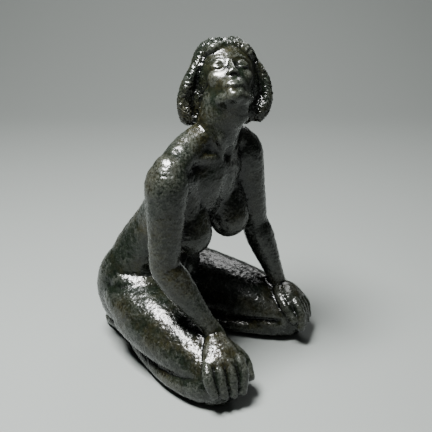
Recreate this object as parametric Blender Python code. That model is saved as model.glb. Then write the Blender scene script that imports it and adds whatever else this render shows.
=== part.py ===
"""Kneeling woman, a bronze figure cast in one piece. Metres, +Z up, her front towards -Y, her right at -X."""

import math

import bpy
import bmesh
import numpy as np
from mathutils import Matrix, Vector

# Driving dimension: floor to the top of the hair. The lengths below it are in the millimetres of a draught of
# the figure, which is brought to this height at the end.
HEIGHT = 0.430

BODY_VOXEL = 3.0  # mesh size while limbs and trunk are run together
BODY_PASSES = 7  # smoothing passes that turn their meeting lines into flesh
FINE_VOXEL = 2.0  # mesh size once calves, fingers, face and hair are on
FINE_PASSES = 2
TRIANGLES = 9400  # faces kept in the finished solid
BRONZE = {"Base Color": (0.035, 0.040, 0.032, 1.0), "Metallic": 0.8, "Roughness": 0.36}

RIGHT, LEFT = -1, 1

# Joint centres.
HIP = {RIGHT: (-43, 2, 84), LEFT: (43, 2, 82)}
KNEE = {RIGHT: (-84, -172, 27), LEFT: (95, -160, 27)}
ANKLE = {RIGHT: (-45, 4, 17), LEFT: (33, 2, 17)}
TOES = {RIGHT: (-17, 62, 9), LEFT: (10, 68, 9)}
SHOULDER = {RIGHT: (-85, -101, 288), LEFT: (61, -103, 289)}
ELBOW = {RIGHT: (-93, -98, 168), LEFT: (87, -110, 168)}
WRIST = {RIGHT: (-60, -149, 75), LEFT: (108, -142, 68)}

# Each hand from its little finger's side to its forefinger's side, then the thumb from its root to its tip.
HAND = {
    RIGHT: {
        "knuckles": ((-107, -173, 55), (-70, -194, 57)),
        "middles": ((-114, -182, 42), (-73, -204, 43)),
        "tips": ((-112, -190, 25), (-80, -207, 22)),
        "thumb": ((-56, -170, 61), (-51, -190, 47), (-58, -204, 30)),
    },
    LEFT: {
        "knuckles": ((118, -166, 58), (89, -181, 60)),
        "middles": ((122, -177, 44), (85, -192, 46)),
        "tips": ((117, -186, 26), (80, -196, 29)),
        "thumb": ((92, -151, 67), (78, -170, 57), (75, -188, 40)),
    },
}

# Profiles along a bone: share of its length, offset outwards, offset to the front, half width, half depth.
THIGH = (
    (-0.12, 0, -8, 30, 25),
    (0.00, 2, -7, 41, 31),
    (0.15, 4, -4, 44, 35),
    (0.35, 3, 1, 42, 37),
    (0.55, 1, 3, 38, 35.5),
    (0.75, 0, 3, 34, 32),
    (0.90, 0, 2, 32, 30),
    (1.00, 0, 0, 30, 29),
    (1.07, 0, -2, 21, 21),
)
CALF = (
    (-0.04, 3, 2, 27, 26),
    (0.05, 5, 4, 33, 26),
    (0.15, 6, 7, 36, 22),
    (0.32, 6, 8, 37, 18),
    (0.52, 4, 7, 34, 17),
    (0.72, 3, 4, 28, 16),
    (0.90, 1, 1, 19, 15),
    (1.00, 0, 0, 15, 15),
)
FOOT = (
    (-0.16, 0, -3, 11, 11),
    (0.05, 0, -1, 15, 15),
    (0.35, 0, 0, 17, 13),
    (0.65, 0, 0, 20, 10),
    (0.88, 0, 0, 20, 8),
)
# The muscle along the top of each thigh's outer side: centre, half width, half depth.
OUTER_THIGH = {
    RIGHT: ((-66, -16, 60, 28, 34), (-80, -60, 55, 28, 31), (-88, -108, 45, 24, 26), (-91, -146, 36, 20, 20)),
    LEFT: ((64, -18, 90, 28, 22), (84, -68, 74, 27, 23), (98, -110, 60, 25, 23), (105, -146, 42, 20, 20)),
}
# Toes from the little one inwards: offset outwards, reach past the foot, radius.
TOE_ROW = ((16, -1, 4.2), (8.5, 3, 4.6), (1, 5, 4.8), (-6.5, 6, 5.0), (-15, 6, 6.6))
UPPER_ARM = (
    (-0.04, -4, 0, 20, 21),
    (0.05, -1, 0, 25, 26),
    (0.16, 1, 0, 26.5, 27),
    (0.35, 1, 0, 24, 25),
    (0.60, 0, 0, 21.5, 22.5),
    (0.85, 0, 0, 20, 20),
)
FOREARM = (
    (0.00, 0, 0, 18, 18.5),
    (0.15, 0, 0, 20.5, 19.5),
    (0.35, 0, 0, 19.5, 18),
    (0.60, 0, 0, 15.5, 15),
    (0.85, 0, 0, 12.5, 12),
    (1.00, 0, 0, 13, 10.5),
)
# Stations of the trunk and neck: centre, half width, half depth.
TRUNK = (
    (0, 11, 55, 48, 34),
    (0, 10, 86, 64, 41),
    (0, 6, 118, 66, 47),
    (0, -11, 150, 56, 44),
    (0, -32, 180, 52, 42),
    (0, -55, 213, 58, 44),
    (0, -75, 243, 65, 45),
    (0, -90, 270, 66, 39),
    (0, -97, 290, 56, 30),
    (0, -100, 304, 40, 25),
)
NECK = (
    (0, -92, 280, 38, 28),
    (0, -100, 302, 31, 27),
    (0, -111, 324, 27, 27),
    (1, -118, 345, 27, 28),
    (4, -120, 360, 27, 28),
)
BREAST = {RIGHT: (-42, -101, 194), LEFT: (33, -106, 193)}
HEAD_CENTRE = (18, -112, 379)
HEAD_TURN = -43.0  # degrees; 0 looks along -Y, negative towards her right
HEAD_TILT = 50.0  # degrees above the horizon

# Places pressed in or drawn out by a soft round tool: centre, reach along each axis, push. The first are in the
# figure's frame, the rest in the head's own directions.
BODY_STROKES = (
    ((0, -126, 240), (16, 26, 46), (0, 3, 0)),
    ((0, -128, 294), (12, 18, 14), (0, 4.5, 0)),
    ((27, -116, 306), (18, 18, 11), (0, 2, -3)),
    ((-27, -116, 306), (18, 18, 11), (0, 2, -3)),
    ((0, -55, 146), (5, 12, 6), (0, 5, 0)),
    ((0, -128, 312), (8, 14, 22), (0, -2, 0)),
)
FACE_STROKES = (
    ((0, 34, 2), (8, 10, 6), (0, -2, 0)),
    ((0, 36, -37), (9, 8, 5), (0, -3, 0)),
    ((14.5, 33, 2), (12, 14, 9), (0, -6, 0)),
    ((-14.5, 33, 2), (12, 14, 9), (0, -6, 0)),
    ((31, 18, 12), (10, 14, 14), (-2, 0, 0)),
    ((-31, 18, 12), (10, 14, 14), (2, 0, 0)),
)
# Lines on the surface: the spine, the cleft below it, and the one where her left thigh rests on the calf.
SPINE = ((0, -58, 292), (0, -40, 262), (0, -20, 232), (0, 2, 200), (0, 22, 168), (0, 40, 134), (0, 52, 108))
CLEFT = ((0, 53, 104), (0, 52, 80), (0, 47, 58), (0, 36, 36))
KNEE_FOLD = ((38, -90, 24), (46, -115, 30), (53, -142, 34), (62, -166, 35))
# Each line is pressed in: reach along each axis, push, and the axis that the line mostly follows.
FOLDS = (
    (SPINE, (20, 26, 26), (0, -3, -1.5), 2),
    (CLEFT, (6, 26, 20), (0, -9, 0), 2),
    (KNEE_FOLD, (14, 14, 8), (6, 2, 1), 1),
)

# Hair: an ellipsoid over the skull in the head's own directions, and locks that leave it and fall to the hem.
HAIR_CENTRE = (0, -11, 14)
HAIR_RADII = (38.5, 44, 44.5)
LOCKS = 34
FIRST_LOCK = 5.0  # degrees round the crown from the way she faces
HEM_FACE, HEM_SIDE, HEM_BACK = 331.0, 325.0, 320.0
# How far the hair stands out at each side, and the share of a half wave it has run through at the hem.
FLARE = {RIGHT: (19.5, 0.72), LEFT: (17.5, 0.92)}
WAVE, WAVE_LENGTH = 4.2, 27.0
KNOB = 0.24  # swelling of a lock along its waves, as a share of its width


def clear_scene():
    for obj in list(bpy.data.objects):
        bpy.data.objects.remove(obj, do_unlink=True)


def smooth_rows(rows, steps):
    """Rows of numbers with a Catmull-Rom curve run through them."""
    rows = np.array(rows, float)
    ends = np.vstack([2 * rows[0] - rows[1], rows, 2 * rows[-1] - rows[-2]])
    found = []
    for a, b, c, d in zip(ends, ends[1:], ends[2:], ends[3:]):
        for t in np.arange(steps) / steps:
            curve = (2 * a - 5 * b + 4 * c - d) * t**2 + (3 * b - a - 3 * c + d) * t**3
            found.append(0.5 * (2 * b + (c - a) * t + curve))
    found.append(rows[-1])
    return np.array(found)


def loft(bm, stations, side, segments=20, steps=3):
    """A closed round-ended tube through stations of centre, half width along side, and half depth."""
    rows = smooth_rows(stations, steps)
    centres, halves = rows[:, :3], rows[:, 3:5]
    tangents = np.gradient(centres, axis=0)
    tangents /= np.linalg.norm(tangents, axis=1)[:, None]

    def cap(row, outward):
        """Shrinking rings and a pole that round off an end, from the widest to the pole."""
        reach = 0.8 * min(row[3], row[4])
        angles = [math.radians(angle) for angle in (25, 50, 72)]
        rings = [(row[:3] + outward * reach * math.sin(a), row[3:5] * math.cos(a)) for a in angles]
        return rings, row[:3] + outward * reach

    start_rings, start_pole = cap(rows[0], -tangents[0])
    end_rings, end_pole = cap(rows[-1], tangents[-1])
    sections = [(centre, half, tangents[0]) for centre, half in reversed(start_rings)]
    sections += list(zip(centres, halves, tangents))
    sections += [(centre, half, tangents[-1]) for centre, half in end_rings]
    turn = 2 * math.pi / segments
    rings = []
    for centre, (half_side, half_depth), tangent in sections:
        across = np.array(side, float)
        across -= tangent * (across @ tangent)
        across /= np.linalg.norm(across)
        depth = np.cross(tangent, across)
        ring = []
        for k in range(segments):
            sideways = across * half_side * math.cos(turn * k)
            ring.append(bm.verts.new(centre + sideways + depth * half_depth * math.sin(turn * k)))
        rings.append(ring)
    for low, high in zip(rings, rings[1:]):
        for k in range(segments):
            after = (k + 1) % segments
            bm.faces.new((low[k], low[after], high[after], high[k]))
    start, end = bm.verts.new(start_pole), bm.verts.new(end_pole)
    for k in range(segments):
        after = (k + 1) % segments
        bm.faces.new((rings[0][after], rings[0][k], start))
        bm.faces.new((rings[-1][k], rings[-1][after], end))


def blob(bm, centre, radii, axes=((1, 0, 0), (0, 1, 0), (0, 0, 1))):
    """An ellipsoid with its radii along the three given axes."""
    turn = Matrix([Vector(axis) for axis in axes]).transposed().to_4x4()
    place = Matrix.Translation(Vector(centre)) @ turn @ Matrix.Diagonal((*radii, 1))
    bmesh.ops.create_icosphere(bm, subdivisions=3, radius=1, matrix=place)


def along(start, end, outward, front, profile):
    """Stations of a limb, its profile laid along the bone from start to end, and its sideways direction."""
    start, end = np.array(start, float), np.array(end, float)
    direction = (end - start) / np.linalg.norm(end - start)
    side = np.array(outward, float)
    side -= direction * (side @ direction)
    side /= np.linalg.norm(side)
    ahead = np.cross(direction, side)
    ahead *= math.copysign(1, ahead @ np.array(front, float))
    stations = [
        (*(start + (end - start) * t + side * off_side + ahead * off_front), half_side, half_depth)
        for t, off_side, off_front, half_side, half_depth in profile
    ]
    return stations, side


def head_axes():
    """Her left, the way her face looks, and the way her crown points."""
    turn, tilt = math.radians(HEAD_TURN), math.radians(HEAD_TILT)
    forward = np.array((math.sin(turn) * math.cos(tilt), -math.cos(turn) * math.cos(tilt), math.sin(tilt)))
    crown = np.array((-math.sin(turn) * math.sin(tilt), math.cos(turn) * math.sin(tilt), math.cos(tilt)))
    return np.cross(crown, forward), forward, crown


def in_head(point):
    """A place in the draught, given from the head's centre as her left, forwards and towards the crown."""
    left, forward, crown = head_axes()
    x, y, z = point
    return np.array(HEAD_CENTRE, float) + left * x + forward * y + crown * z


def head_blob(bm, point, radii):
    blob(bm, in_head(point), radii, head_axes())


def head_loft(bm, stations, side=(1, 0, 0), segments=12, steps=3):
    axes = np.array(head_axes())
    loft(bm, [(*in_head(row[:3]), *row[3:]) for row in stations], np.array(side, float) @ axes, segments, steps)


def add_thigh(bm, hand):
    stations, side = along(HIP[hand], KNEE[hand], (hand, 0, 0), (0, 0, 1), THIGH)
    loft(bm, stations, side, segments=28)
    loft(bm, OUTER_THIGH[hand], (1, 0, 0), segments=24)
    seat = ((hand * 34, 23, 50, 35, 35), (hand * 37, 22, 78, 39, 40), (hand * 38, 16, 102, 35, 39))
    loft(bm, (*seat, (hand * 34, 1, 125, 27, 34)), (1, 0, 0), segments=28)
    loft(bm, ((hand * 2, 16, 34, 24, 18), (hand * 26, 16, 34, 24, 18)), (0, 1, 0))
    groin = ((hand * 58, 6, 100, 19, 19), (hand * 54, -14, 97, 19, 19), (hand * 45, -25, 95, 19, 19))
    loft(bm, (*groin, (hand * 30, -30, 98, 17, 17)), (0, 0, 1))


def add_lower_leg(bm, hand):
    out = (hand, 0, 0)
    stations, side = along(KNEE[hand], ANKLE[hand], out, (0, 0, -1), CALF)
    loft(bm, stations, side, segments=24)
    stations, side = along(ANKLE[hand], TOES[hand], out, (0, 0, -1), FOOT)
    loft(bm, stations, side)


def add_toes(bm, hand):
    ankle, toes = np.array(ANKLE[hand], float), np.array(TOES[hand], float)
    ahead = (toes - ankle) / np.linalg.norm(toes - ankle)
    side = np.cross(ahead, (0, 0, 1))
    side *= math.copysign(1, side[0] * hand)
    for across, reach, radius in TOE_ROW:
        root = toes + side * across - ahead * 9
        tip = toes + side * across * 0.9 + ahead * reach
        middle = (root + tip) / 2 + (0, 0, 1.5)
        toe = ((*root, radius, radius), (*middle, radius, radius), (*tip, radius * 0.9, radius * 0.9))
        loft(bm, toe, side, segments=10)


def add_arm(bm, hand):
    out, front = (hand, 0, 0), (0, -1, 0)
    upper, side = along(SHOULDER[hand], ELBOW[hand], out, front, UPPER_ARM)
    lower, _ = along(ELBOW[hand], WRIST[hand], out, front, FOREARM)
    loft(bm, upper + lower, side)


def add_trunk(bm):
    loft(bm, TRUNK, (1, 0, 0), segments=36)
    loft(bm, NECK, (1, 0, 0), segments=24)
    for hand in (RIGHT, LEFT):
        add_breast(bm, hand)
        add_shoulder(bm, hand)
        add_collar(bm, hand)


def add_breast(bm, hand):
    x, y, z = BREAST[hand]
    blob(bm, (x, y, z), (29, 25, 28))
    fall = ((x * 0.8, y + 8, z + 62, 26, 14), (x * 0.9, y + 6, z + 38, 28, 19), (x, y + 1, z + 5, 29, 25))
    loft(bm, fall, (1, 0, 0))


def add_shoulder(bm, hand):
    """The muscles that run from the chest, the nape and the back to the arm."""
    x, y, z = SHOULDER[hand]
    chest = (
        (hand * 16, -103, 271, 16, 16),
        (x * 0.55, -101, 271, 17, 21),
        (x * 0.88, y - 1, z - 16, 18, 21),
    )
    yoke = (
        (hand * 8, -102, 322, 15, 14),
        (x * 0.5, -98, 308, 19, 17),
        (x * 0.9, y + 1, z + 2, 20, 19),
    )
    blade = (
        (hand * 24, -71, 266, 17, 26),
        (x * 0.66, -73, 266, 20, 28),
        (x * 0.9, y + 9, z - 14, 19, 21),
    )
    armpit = (
        (x * 0.76, y + 8, z - 20, 14, 18),
        (hand * 60, -84, 232, 15, 23),
        (hand * 54, -80, 200, 13, 18),
    )
    pectoral = (
        (x * 0.62, -99, 266, 22, 17),
        (hand * 50, -98, 238, 20, 17),
        (hand * 47, -99, 209, 17, 19),
    )
    for muscle in (chest, yoke, blade):
        loft(bm, muscle, (0, 1, 0))
    for muscle in (armpit, pectoral):
        loft(bm, muscle, (1, 0, 0))


def add_collar(bm, hand):
    """The collar bone, and the tendon from its inner end to the skull behind the ear."""
    x, y, z = SHOULDER[hand]
    bone = (
        (hand * 7, -119, 287, 6, 6),
        (hand * 24, -118.5, 292, 6, 6),
        (x * 0.62, -111, 299, 6.5, 6.5),
        (x * 0.92, y - 5, z + 9, 9, 9),
    )
    tendon = (
        (hand * 6, -121, 288, 5, 5),
        (hand * 12, -126, 306, 5.5, 5.5),
        (hand * 18, -127, 324, 6, 6),
        (*in_head((hand * 25, -8, -22)), 7, 7),
    )
    hollow = ((hand * 12, -107, 304, 16, 15), (hand * 27, -103, 304, 17, 16), (x * 0.56, -99, 304, 17, 17))
    loft(bm, hollow, (0, 0, 1))
    loft(bm, bone, (0, 0, 1), segments=12)
    loft(bm, tendon, (1, 0, 0), segments=12)


def add_skull(bm):
    head_blob(bm, (0, -8, 11), (34, 41, 38))
    head_blob(bm, (0, 3, -12), (27, 30, 34))
    head_loft(bm, ((0, 20, -40, 12, 8), (0, 8, -44, 17, 10), (0, -8, -48, 21, 14)))
    head_blob(bm, (0, 22, -26), (16, 14, 14))
    head_blob(bm, (0, 26, -41), (11, 9.5, 9))
    for hand in (RIGHT, LEFT):
        head_blob(bm, (hand * 16, 16, -10), (12, 12, 12))
        jaw = ((hand * 24, -8, -14, 7, 9), (hand * 21, 3, -30, 7, 8), (hand * 10, 21, -41, 7, 8))
        head_loft(bm, jaw)


def add_face(bm):
    nose = (
        (0, 28.5, 10, 4, 3.2),
        (0, 30.5, 1, 3.4, 3.8),
        (0, 34, -8, 3.6, 4.6),
        (0, 36.2, -13.5, 4.2, 4.2),
    )
    lower_lip = ((-10, 31.6, -30.3, 1.0, 1.8), (0, 33.8, -32.0, 2.1, 2.6), (10, 31.6, -30.3, 1.0, 1.8))
    head_loft(bm, nose)
    head_loft(bm, lower_lip, side=(0, 0, 1))
    for hand in (RIGHT, LEFT):
        head_blob(bm, (hand * 4.4, 34.5, -15), (2.8, 4.4, 3.0))
        head_blob(bm, (hand * 14.5, 21.5, 2), (8.5, 8, 7.5))
        add_brow_and_lids(bm, hand)
        upper_lip = (
            (hand * 10.5, 31.6, -29.3, 1.0, 1.8),
            (hand * 4, 34.2, -27.2, 1.7, 2.5),
            (0, 34.5, -27.6, 1.6, 2.5),
        )
        head_loft(bm, upper_lip, side=(0, 0, 1))


def add_brow_and_lids(bm, hand):
    brow = (
        (hand * 6, 30, 10, 2.2, 2.6),
        (hand * 14.5, 28.2, 12, 2.2, 2.6),
        (hand * 23, 21.5, 10, 2.0, 2.4),
    )
    upper_lid = (
        (hand * 8, 28, 1, 1.2, 1.3),
        (hand * 14.5, 29.8, 4.8, 1.7, 2.3),
        (hand * 21.5, 25.8, 2, 1.2, 1.4),
    )
    lower_lid = (
        (hand * 8, 28.2, 0, 1.1, 1.2),
        (hand * 14.5, 29.6, -3, 1.2, 1.3),
        (hand * 21.5, 26.2, 1, 1.1, 1.2),
    )
    head_loft(bm, brow, side=(0, 0, 1))
    head_loft(bm, upper_lid, side=(0, 1, 0))
    head_loft(bm, lower_lid, side=(0, 1, 0))


def over_skull(around, down, inset=0.0):
    """A place on the hair's ellipsoid: degrees round the crown from the face, and down from the crown."""
    around, down = math.radians(around), math.radians(down)
    unit = (math.sin(down) * math.sin(around), math.sin(down) * math.cos(around), math.cos(down))
    return in_head([c + (r - inset) * u for c, r, u in zip(HAIR_CENTRE, HAIR_RADII, unit)])


def lock_stations(around, half_width, half_depth, inset, phase):
    """A lock from the parting to the hem, waving and standing out as it falls, and its sideways direction."""
    hand = LEFT if around > 0 else RIGHT
    flare, bend = FLARE[hand]
    swept = hand * (abs(around) + max(0.0, 86 - abs(around)) * 0.75)
    back = min(max((abs(swept) - 70) / 60, 0.0), 1.0)
    parted = around * np.interp(abs(around), (60, 110), (0.12, 1.0))
    rise = 8 + 62 * max(0.0, 1 - abs(around) / 80)
    places = []
    for share in (0, 0.33, 0.66, 1):
        sunk = inset + 3 * (share == 0)
        places.append(over_skull(parted + (swept - parted) * share**0.8, rise + (80 - rise) * share**1.3, sunk))
    start = places[-1]
    away = (start - in_head((0, -20, 0))) * (1, 1, 0)
    away /= np.linalg.norm(away)
    down = np.array((0, 0, -1)) * (0.7 + 0.3 * back) - head_axes()[2] * 0.3 * (1 - back)
    down /= -down[2]
    hem = np.interp(abs(swept), (66, 95, 180), (HEM_FACE, HEM_SIDE, HEM_BACK))
    drop = max(start[2] - hem, 10.0)
    flare *= (1 - 0.8 * back) * (1 - 0.5 * inset / 8)
    for share in (0.3, 0.62, 0.86, 1.0):
        stands_out = flare * math.sin(math.pi * bend * share) - inset * 0.4
        places.append(start + down * drop * share + away * stands_out)
    places = np.array(places)
    travel = np.append(0, np.cumsum(np.linalg.norm(np.diff(places, axis=0), axis=1)))
    sideways = np.cross(away, (0, 0, 1))
    for place, far in zip(places, travel):
        place += sideways * WAVE * math.sin(far / WAVE_LENGTH * 2 * math.pi + phase)
    swells = 1 + KNOB * np.sin(travel / WAVE_LENGTH * 4 * math.pi + phase)
    shares = np.array((0.6, 0.85, 1.0, 1.0, 1.1, 1.15, 1.1, 0.8)) * swells
    return [(*place, half_width * share, half_depth) for place, share in zip(places, shares)], sideways


def add_hair(bm):
    blob(bm, in_head(HAIR_CENTRE), HAIR_RADII, head_axes())
    blob(bm, in_head((0, -27, -14)), (34, 27, 30), head_axes())
    for inset in (16, 8):
        for around in np.linspace(24, 336, 23):
            around = around if around < 180 else around - 360
            stations, side = lock_stations(around, 10, 8, inset, phase=0)
            loft(bm, stations, side)
    for k in range(LOCKS):
        around = FIRST_LOCK + (360 - 2 * FIRST_LOCK) * k / (LOCKS - 1)
        around = around if around < 180 else around - 360
        stations, side = lock_stations(around, 5.4 + k % 2, 6.2, inset=1.3 * (2 * k % 3), phase=2.3 * k)
        loft(bm, stations, side, segments=12)


def add_hand(bm, hand):
    joints = {name: np.array(ends, float) for name, ends in HAND[hand].items()}
    elbow, wrist, knuckles = np.array(ELBOW[hand], float), np.array(WRIST[hand], float), joints["knuckles"]
    across = knuckles[1] - knuckles[0]
    centre = knuckles.mean(axis=0)
    palm = (
        (*(wrist + (elbow - wrist) * 0.2), 12, 11),
        (*wrist, 13.5, 11),
        (*(wrist + (centre - wrist) * 0.3 + (0, 0, 1)), 16, 10.5),
        (*(wrist + (centre - wrist) * 0.6 + (0, 0, 2)), 21.5, 10),
        (*(wrist + (centre - wrist) * 0.95), 26, 8.5),
    )
    loft(bm, palm, across)
    for share, lengthen in ((0.0, 0.85), (0.33, 1.0), (0.67, 1.05), (1.0, 1.0)):
        rows = [joints[name] for name in ("knuckles", "middles", "tips")]
        knuckle, middle, tip = (row[0] + (row[1] - row[0]) * share for row in rows)
        tip = middle + (tip - middle) * lengthen
        finger = ((*(knuckle + (wrist - knuckle) * 0.2), 6, 6), (*knuckle, 7, 7), (*middle, 7, 7), (*tip, 6, 6))
        loft(bm, finger, across, segments=10)
    root, middle, tip = joints["thumb"]
    thumb = ((*(wrist + (root - wrist) * 0.4), 8, 8), (*root, 9, 8), (*middle, 7.5, 7), (*tip, 6.2, 6))
    loft(bm, thumb, across, segments=10)
    blob(bm, (root + middle) / 2 * 0.5 + (knuckles[1] + joints["middles"][1]) / 2 * 0.5, (9, 9, 9))


def object_of(name, bm, modifiers):
    """An object from a bmesh in the figure's millimetres, with its modifiers."""
    mesh = bpy.data.meshes.new(name)
    bmesh.ops.recalc_face_normals(bm, faces=bm.faces)
    bm.to_mesh(mesh)
    bm.free()
    obj = bpy.data.objects.new(name, mesh)
    bpy.context.scene.collection.objects.link(obj)
    for kind, settings in modifiers:
        modifier = obj.modifiers.new(kind.title(), kind)
        for key, value in settings.items():
            setattr(modifier, key, value)
    return obj


def evaluated(obj):
    """The object's mesh with its modifiers applied. The object is removed."""
    graph = bpy.context.evaluated_depsgraph_get()
    mesh = bpy.data.meshes.new_from_object(obj.evaluated_get(graph))
    bpy.data.objects.remove(obj)
    return mesh


def stroke(mesh, strokes, origin=(0, 0, 0), axes=((1, 0, 0), (0, 1, 0), (0, 0, 1))):
    """Push the mesh about softly, each stroke given in the frame of the origin and axes."""
    axes = np.array(axes, float)
    places = np.array([vertex.co for vertex in mesh.vertices])
    for centre, reach, push in strokes:
        local = (places - np.array(origin, float)) @ axes.T
        far = np.sum(((local - centre) / reach) ** 2, axis=1)
        weight = np.clip(1 - far, 0, 1) ** 2
        places += weight[:, None] * (np.array(push, float) @ axes)
    mesh.vertices.foreach_set("co", places.ravel())


def furrow(path, reach, push, lengthways, steps=4):
    """Overlapping strokes along a path that add up to one even groove of the given push."""
    places = smooth_rows(path, steps)
    spacing = np.linalg.norm(np.diff(places, axis=0), axis=1).mean()
    part = np.array(push) * spacing / reach[lengthways]
    return [(place, reach, part) for place in places]


def body_mesh():
    """Trunk, head, arms and thighs run together."""
    bm = bmesh.new()
    add_trunk(bm)
    add_skull(bm)
    for hand in (RIGHT, LEFT):
        add_thigh(bm, hand)
        add_arm(bm, hand)
    modifiers = [
        ("REMESH", {"mode": "VOXEL", "voxel_size": BODY_VOXEL}),
        ("SMOOTH", {"factor": 0.5, "iterations": BODY_PASSES}),
    ]
    mesh = evaluated(object_of("body", bm, modifiers))
    stroke(mesh, BODY_STROKES)
    for path, reach, push, lengthways in FOLDS:
        stroke(mesh, furrow(path, reach, push, lengthways))
    stroke(mesh, FACE_STROKES, HEAD_CENTRE, head_axes())
    return mesh


def figure_mesh():
    """The whole figure in the draught's millimetres, with its underside cut flat at the floor."""
    bm = bmesh.new()
    bm.from_mesh(body_mesh())
    add_face(bm)
    add_hair(bm)
    for hand in (RIGHT, LEFT):
        add_lower_leg(bm, hand)
        add_hand(bm, hand)
        add_toes(bm, hand)
    modifiers = [
        ("REMESH", {"mode": "VOXEL", "voxel_size": FINE_VOXEL}),
        ("SMOOTH", {"factor": 0.5, "iterations": FINE_PASSES}),
    ]
    mesh = evaluated(object_of("carved", bm, modifiers))
    lay_flat(mesh, 0.0)
    return mesh


def lay_flat(mesh, below):
    """Bring every vertex under the given height onto the floor."""
    for vertex in mesh.vertices:
        if vertex.co.z < below:
            vertex.co.z = 0.0


def thinned(mesh, triangles):
    mesh.calc_loop_triangles()
    bm = bmesh.new()
    bm.from_mesh(mesh)
    settings = {"ratio": triangles / len(mesh.loop_triangles), "use_collapse_triangulate": True}
    return evaluated(object_of("thinned", bm, [("DECIMATE", settings)]))


def to_size(mesh):
    """Metres at the built height, the middle of the figure's box over the origin."""
    places = np.array([vertex.co for vertex in mesh.vertices])
    low, high = places.min(axis=0), places.max(axis=0)
    middle = (low + high) / 2
    shift = Matrix.Translation((-middle[0], -middle[1], 0))
    mesh.transform(Matrix.Scale(HEIGHT / high[2], 4) @ shift)


def bronze():
    material = bpy.data.materials.new("bronze")
    material.use_nodes = True
    shader = material.node_tree.nodes["Principled BSDF"]
    for socket, value in BRONZE.items():
        shader.inputs[socket].default_value = value
    return material


def main():
    clear_scene()
    mesh = thinned(figure_mesh(), TRIANGLES)
    lay_flat(mesh, 0.5)
    to_size(mesh)
    mesh.name = "figure"
    mesh.materials.append(bronze())
    obj = bpy.data.objects.new("figure", mesh)
    bpy.context.scene.collection.objects.link(obj)


main()
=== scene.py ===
"""Kneeling woman in dark bronze, on a plain floor in soft studio light. Metres, +Z up, front towards -Y."""

import math

import bmesh
import bpy
import numpy as np
from mathutils import Matrix, Vector, noise
from mathutils.bvhtree import BVHTree


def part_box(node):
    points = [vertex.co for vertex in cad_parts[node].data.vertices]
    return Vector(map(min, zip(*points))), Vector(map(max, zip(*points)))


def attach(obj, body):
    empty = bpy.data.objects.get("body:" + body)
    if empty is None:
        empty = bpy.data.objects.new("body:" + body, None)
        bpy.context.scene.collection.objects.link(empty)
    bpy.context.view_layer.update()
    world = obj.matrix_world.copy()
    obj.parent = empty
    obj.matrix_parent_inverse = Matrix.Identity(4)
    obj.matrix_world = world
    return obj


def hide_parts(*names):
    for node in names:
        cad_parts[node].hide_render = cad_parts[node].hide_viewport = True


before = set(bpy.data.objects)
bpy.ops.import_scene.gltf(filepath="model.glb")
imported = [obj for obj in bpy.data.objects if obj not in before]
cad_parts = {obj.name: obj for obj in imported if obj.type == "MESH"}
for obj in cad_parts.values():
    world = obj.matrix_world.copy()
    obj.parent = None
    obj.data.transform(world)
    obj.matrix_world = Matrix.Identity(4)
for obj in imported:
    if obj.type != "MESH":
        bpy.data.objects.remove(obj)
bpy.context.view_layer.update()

# Lengths are in the millimetres of a draught of the figure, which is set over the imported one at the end.
BODY_VOXEL = 2.0  # mesh size while limbs and trunk are run together
BODY_PASSES = 16  # smoothing passes that turn their meeting lines into flesh
FINE_VOXEL = 1.1  # mesh size once calves, fingers, face and hair are on
FINE_PASSES = 4
SMOOTH_SHARE = 0.5  # how far one pass moves a vertex towards the middle of its neighbours
TRIANGLES = 195000
CAP_REACH = 0.8  # how far a tube's round end stands out, as a share of its smaller half width
CAP_ANGLES = (25, 50, 72)  # degrees up the round end at which it has its rings

RIGHT, LEFT = -1, 1
UPRIGHT = ((1, 0, 0), (0, 1, 0), (0, 0, 1))

# Joint centres.
HIP = {RIGHT: (-43, 2, 84), LEFT: (43, 2, 82)}
KNEE = {RIGHT: (-84, -172, 27), LEFT: (95, -160, 27)}
ANKLE = {RIGHT: (-45, 4, 17), LEFT: (33, 2, 17)}
TOES = {RIGHT: (-17, 62, 9), LEFT: (10, 68, 9)}
SHOULDER = {RIGHT: (-85, -101, 288), LEFT: (61, -103, 289)}
ELBOW = {RIGHT: (-93, -98, 168), LEFT: (87, -110, 168)}
WRIST = {RIGHT: (-60, -149, 75), LEFT: (108, -142, 68)}

# Each hand from its little finger's side to its forefinger's side, then the thumb from its root to its tip.
HAND = {
    RIGHT: {
        "knuckles": ((-107, -173, 55), (-70, -194, 57)),
        "middles": ((-114, -182, 42), (-73, -204, 43)),
        "tips": ((-112, -190, 25), (-80, -207, 22)),
        "thumb": ((-56, -170, 61), (-51, -190, 47), (-58, -204, 30)),
    },
    LEFT: {
        "knuckles": ((118, -166, 58), (89, -181, 60)),
        "middles": ((122, -177, 44), (85, -192, 46)),
        "tips": ((117, -186, 26), (80, -196, 29)),
        "thumb": ((92, -151, 67), (78, -170, 57), (75, -188, 40)),
    },
}

# Profiles along a bone: share of its length, offset outwards, offset to the front, half width, half depth.
THIGH = (
    (-0.12, 0, -8, 30, 25),
    (0.00, 2, -7, 41, 31),
    (0.15, 4, -4, 44, 35),
    (0.35, 3, 1, 42, 37),
    (0.55, 1, 3, 38, 35.5),
    (0.75, 0, 3, 34, 32),
    (0.90, 0, 2, 32, 30),
    (1.00, 0, 0, 30, 29),
    (1.07, 0, -2, 21, 21),
)
CALF = (
    (-0.04, 3, 2, 27, 26),
    (0.05, 5, 4, 33, 26),
    (0.15, 6, 7, 36, 22),
    (0.32, 6, 8, 37, 18),
    (0.52, 4, 7, 34, 17),
    (0.72, 3, 4, 28, 16),
    (0.90, 1, 1, 19, 15),
    (1.00, 0, 0, 15, 15),
)
FOOT = (
    (-0.16, 0, -3, 11, 11),
    (0.05, 0, -1, 15, 15),
    (0.35, 0, 0, 17, 13),
    (0.65, 0, 0, 20, 10),
    (0.88, 0, 0, 20, 8),
)
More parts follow.
